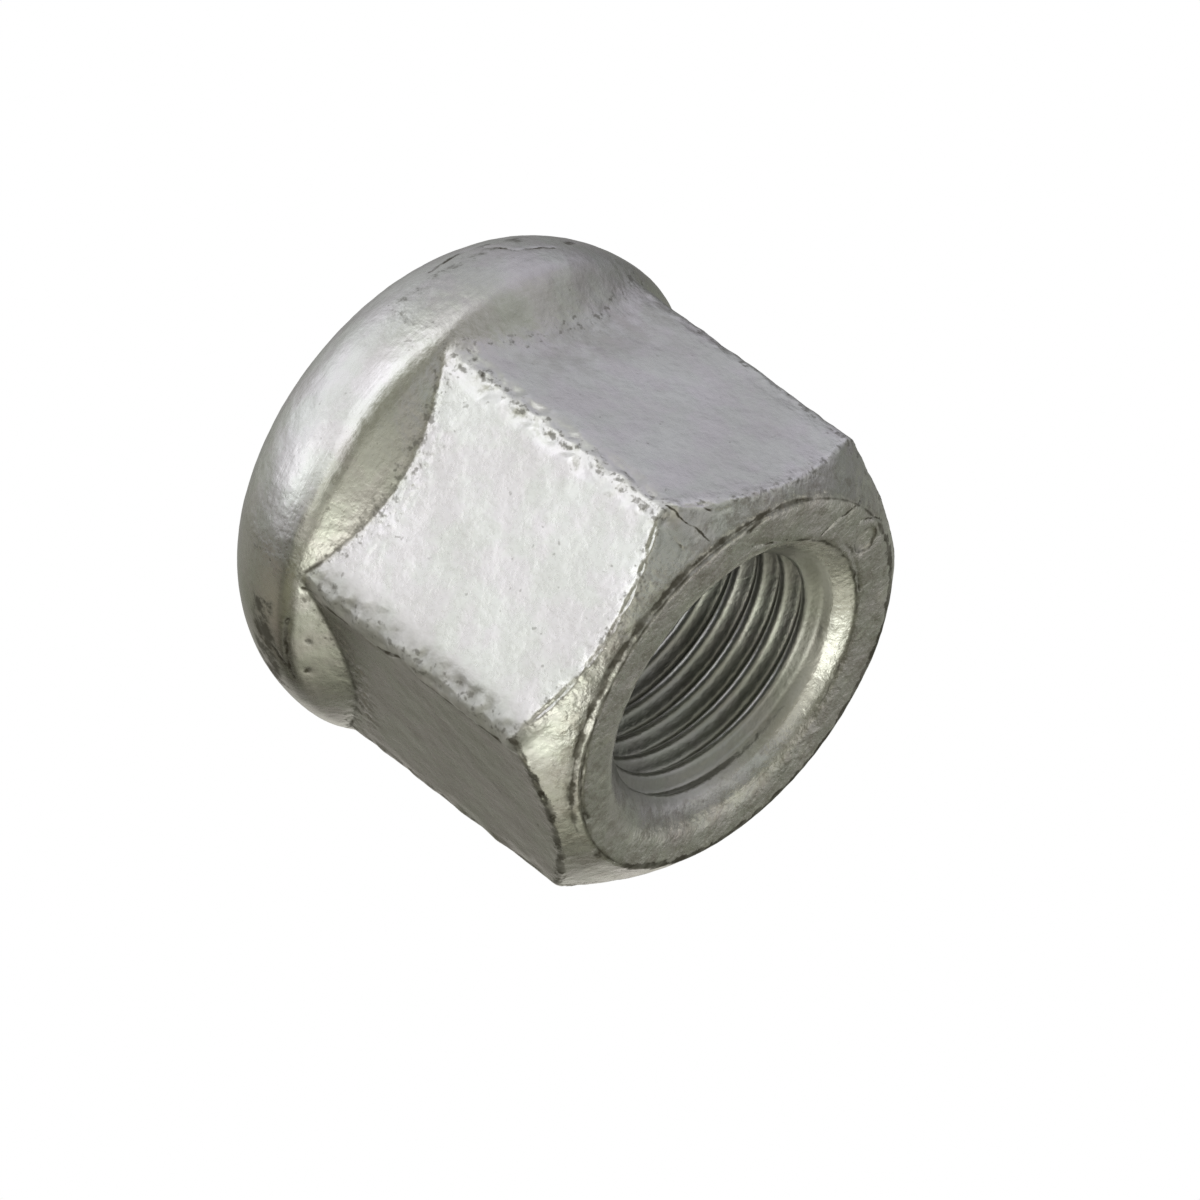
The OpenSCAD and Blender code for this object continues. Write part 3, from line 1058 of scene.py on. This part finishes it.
# %% List of lamps
LAMPS = [  # azimuth from +X, elevation, spread in degrees, colour, and what it lights
    (-117, -15, 40, (0.31, 0.30, 0.22)),  # a broad fill from the left
    (50, 46, 40, (0.08, 0.08, 0.05)),  # a faint fill from above
    (-22, 46, 10, (1.62, 1.66, 1.45)),  # the corner of the chamfer under the bore
    (36, -58, 18, (0.16, 0.16, 0.12)),  # the table behind, on the lower face
    (153, 15, 26, (0.23, 0.23, 0.24)),  # the right wall, on the countersink
    (-72, 0, 10, (0.54, 0.54, 0.52)),  # the bright band down the collar
    (108, 63, 10, (0.49, 0.48, 0.40)),  # high behind, on the foot of the countersink
    (164, -30, 18, (0.37, 0.37, 0.42)),  # the far table, on the upper flat
    (62, -16, 13, (0.66, 0.63, 0.59)),  # behind, on the lower face
    (-36, 32, 10, (0.56, 0.53, 0.46)),  # the chamfer beside the bright face
    (108, -58, 18, (0.30, 0.30, 0.31)),  # the table behind, on the collar
    (180, 32, 18, (0.23, 0.24, 0.21)),  # the ring round the bore
    (-134, -16, 18, (0.74, 0.77, 0.78)),  # the upper edge of the bright face
    (-144, 58, 13, (0.24, 0.25, 0.27)),  # the far chamfer
    (0, -32, 10, (0.24, 0.21, 0.17)),  # the rubbed lower edge
    (-82, -16, 10, (1.05, 1.07, 1.11)),  # the middle of the collar
    (16, 30, 13, (0.52, 0.51, 0.42)),  # the countersink and the lower chamfer
    (90, 0, 18, (0.23, 0.24, 0.20)),  # straight behind, on the far rim
    (-180, 0, 18, (0.16, 0.15, 0.20)),  # the far end of the upper flat
    (-18, 0, 10, (0.19, 0.18, 0.12)),  # the foot of the lower edge
    (-72, 58, 18, (0.45, 0.44, 0.38)),  # the upper chamfer
    (-54, 0, 10, (0.61, 0.60, 0.52)),  # the foot of the collar
    (94, 46, 10, (0.36, 0.35, 0.35)),  # over the back, down the thread
    (-108, -27, 13, (0.89, 0.88, 1.02)),  # the bright face
    (-58, -46, 10, (1.43, 1.45, 1.50)),  # low in front, on the bright face
    (-108, -75, 18, (0.97, 0.98, 1.05)),  # the table in front, on the shoulder
]
print(len(LAMPS), "lamps")

# %% Hang the lamps in the world
world = bpy.data.worlds.new("studio")
bpy.context.scene.world = world
world.use_nodes = True
sky = world.node_tree
sky.nodes.clear()
way = node(sky, "ShaderNodeTexCoord").outputs["Generated"]
light = (0, 0, 0)
for azimuth, elevation, spread, colour in LAMPS:
    a, e = math.radians(azimuth), math.radians(elevation)
    towards = (math.cos(a) * math.cos(e), math.sin(a) * math.cos(e), math.sin(e))
    facing = node(sky, "ShaderNodeVectorMath", {0: way, 1: towards}, operation="DOT_PRODUCT").outputs["Value"]
    sharpness = 1 / math.radians(spread) ** 2
    glow = calc(sky, "EXPONENT", calc(sky, "MULTIPLY", calc(sky, "SUBTRACT", facing, 1), sharpness), 0)
    lamp = node(sky, "ShaderNodeVectorMath", {0: tuple(colour), "Scale": glow}, operation="SCALE")
    light = node(sky, "ShaderNodeVectorMath", {0: light, 1: lamp.outputs[0]}, operation="ADD").outputs[0]
seen = node(sky, "ShaderNodeLightPath").outputs["Is Camera Ray"]
light = blend_colour(sky, seen, light, (1, 1, 1))
background = node(sky, "ShaderNodeBackground", {"Color": light, "Strength": 1})
node(sky, "ShaderNodeOutputWorld", {"Surface": background.outputs[0]})
bpy.context.scene.view_settings.view_transform = "Standard"
print("world:", len(sky.nodes), "nodes")

# %% [markdown]
# ## The camera
#
# The nut stands on its end, but it is looked at as if it lay on its side: the
# camera looks down by 30 degrees and is turned round the line that it looks
# along. It stands far away behind a long lens, which keeps parallel edges
# nearly parallel. Azimuth and elevation say where the camera stands, and roll
# says how far it is turned.

# %% Camera
AIM = Vector((0.672, 1.108, 12.097)) * MM
DISTANCE = 447.37 * MM
AZIMUTH, ELEVATION, ROLL = (math.radians(a) for a in (-9.297, 29.832, 127.082))
level = math.cos(ELEVATION)
back = Vector((math.sin(AZIMUTH) * level, -math.cos(AZIMUTH) * level, math.sin(ELEVATION)))
bpy.ops.object.camera_add(location=AIM + back * DISTANCE)
camera = bpy.context.object
camera.name = "camera"
camera.rotation_mode = "QUATERNION"
camera.rotation_quaternion = back.to_track_quat("Z", "Y") @ Quaternion((0, 0, 1), ROLL)
camera.data.lens = 332.5
camera.data.sensor_width = 36
camera.data.clip_start = 0.01
camera.data.clip_end = 20
bpy.context.scene.camera = camera
print("camera at", [round(v / MM, 1) for v in camera.location], "mm")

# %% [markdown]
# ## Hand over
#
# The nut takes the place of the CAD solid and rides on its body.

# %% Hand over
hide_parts("lug_nut")
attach(nut, "root")
